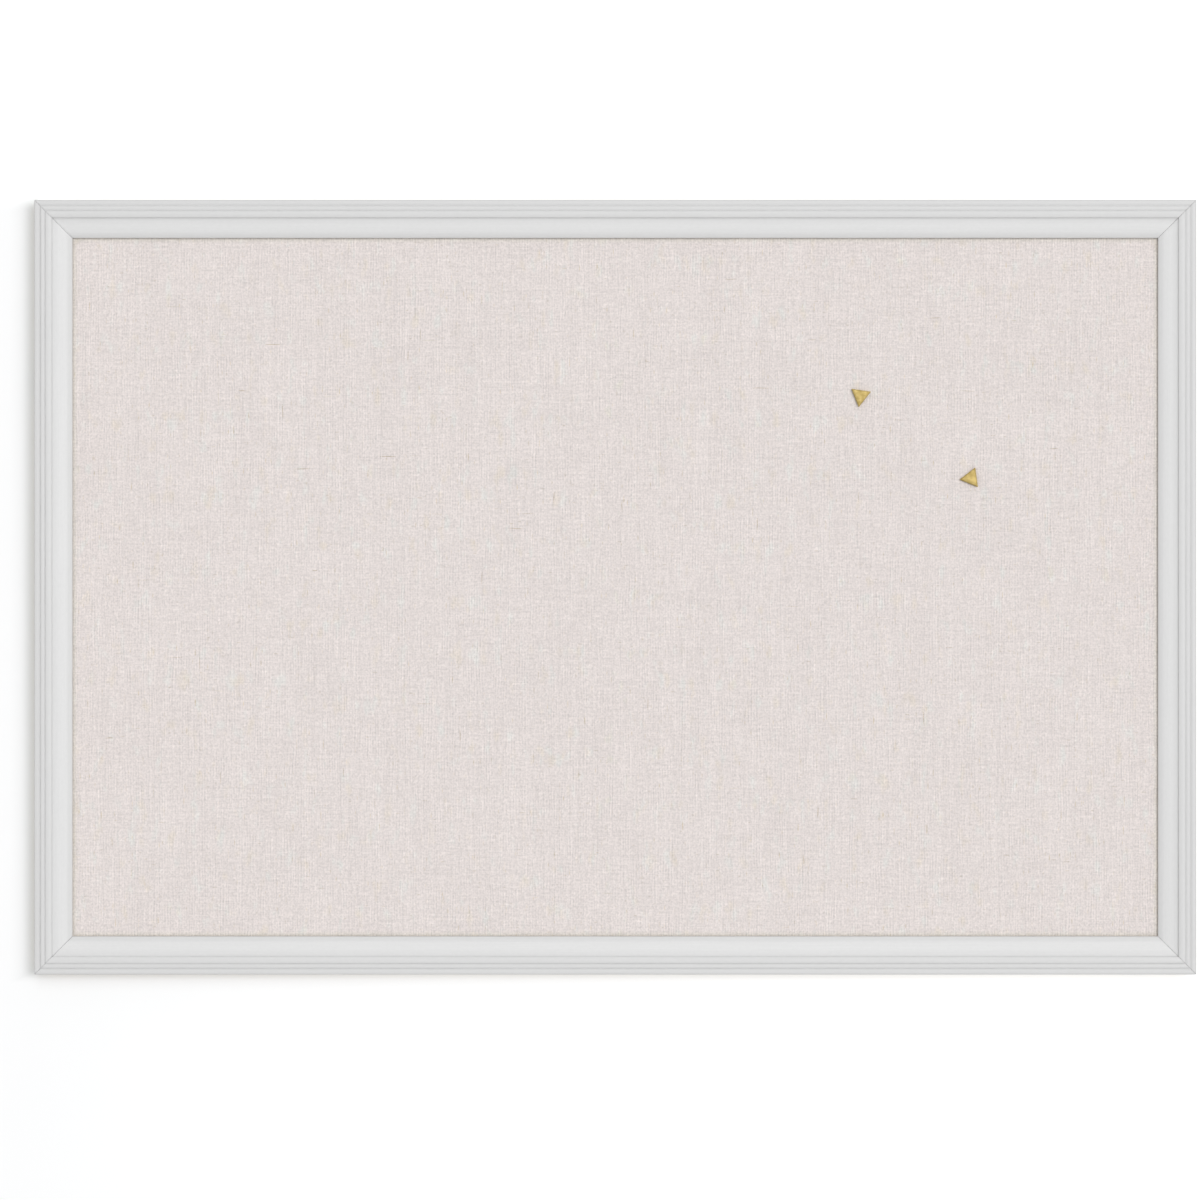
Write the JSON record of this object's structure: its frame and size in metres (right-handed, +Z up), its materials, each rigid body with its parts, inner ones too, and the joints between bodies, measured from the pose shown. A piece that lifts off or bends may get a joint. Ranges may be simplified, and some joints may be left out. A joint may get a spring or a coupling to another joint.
{
  "type": "bulletin board",
  "caption": "Wall-hung bulletin board: mitred moulding round a linen-covered pinnable panel, with triangular push pins, strap hangers and wall bumpers.",
  "frame": {"origin": "middle of the flat wall side of the top rail, where the board lies against what it is fixed to", "axes": "+Z up, +X to the right seen from the room, -Y out of the face into the room"},
  "size_m": [0.762, 0.025, 0.508],
  "materials": {
    "white_paint": "satin",
    "linen": "matte",
    "fibreboard": "matte",
    "hardboard": "matte",
    "steel": "satin",
    "brass": "satin",
    "rubber": "matte"
  },
  "bodies": {
    "board": {"top_rail": "white_paint", "bottom_rail": "white_paint", "left_stile": "white_paint", "right_stile": "white_paint", "linen_cover": "linen", "pinboard_core": "fibreboard", "backing_board": "hardboard", "v_nail_top_left_outer": "steel", "v_nail_top_left_inner": "steel", "v_nail_top_right_outer": "steel", "v_nail_top_right_inner": "steel", "v_nail_bottom_left_outer": "steel", "v_nail_bottom_left_inner": "steel", "v_nail_bottom_right_outer": "steel", "v_nail_bottom_right_inner": "steel", "retaining_point_top_1": "steel", "retaining_point_top_2": "steel", "retaining_point_top_3": "steel", "retaining_point_bottom_1": "steel", "retaining_point_bottom_2": "steel", "retaining_point_bottom_3": "steel", "retaining_point_left_1": "steel", "retaining_point_left_2": "steel", "retaining_point_right_1": "steel", "retaining_point_right_2": "steel", "left_hanger_strap": "steel", "left_hanger_screw": "steel", "right_hanger_strap": "steel", "right_hanger_screw": "steel", "left_bumper": "rubber", "right_bumper": "rubber"},
    "left_ring": {"left_hanger_ring": "steel"},
    "right_ring": {"right_hanger_ring": "steel"},
    "pin_1": {"pin_1_head": "brass", "pin_1_needle": "steel"},
    "pin_2": {"pin_2_head": "brass", "pin_2_needle": "steel"}
  },
  "joints": [
    {"name": "left_ring_swing", "type": "hinge", "parent": "board", "child": "left_ring", "pos_m": [-0.372, 0.0028, -0.101], "axis": [1, 0, 0], "range_deg": [0, 180]},
    {"name": "right_ring_swing", "type": "hinge", "parent": "board", "child": "right_ring", "pos_m": [0.372, 0.0028, -0.101], "axis": [1, 0, 0], "range_deg": [0, 180]},
    {"name": "pin_1_pull", "type": "slide", "parent": "board", "child": "pin_1", "axis": [0, -1, 0], "range_m": [0, 0.02]},
    {"name": "pin_2_pull", "type": "slide", "parent": "board", "child": "pin_2", "axis": [0, -1, 0], "range_m": [0, 0.02]}
  ]
}
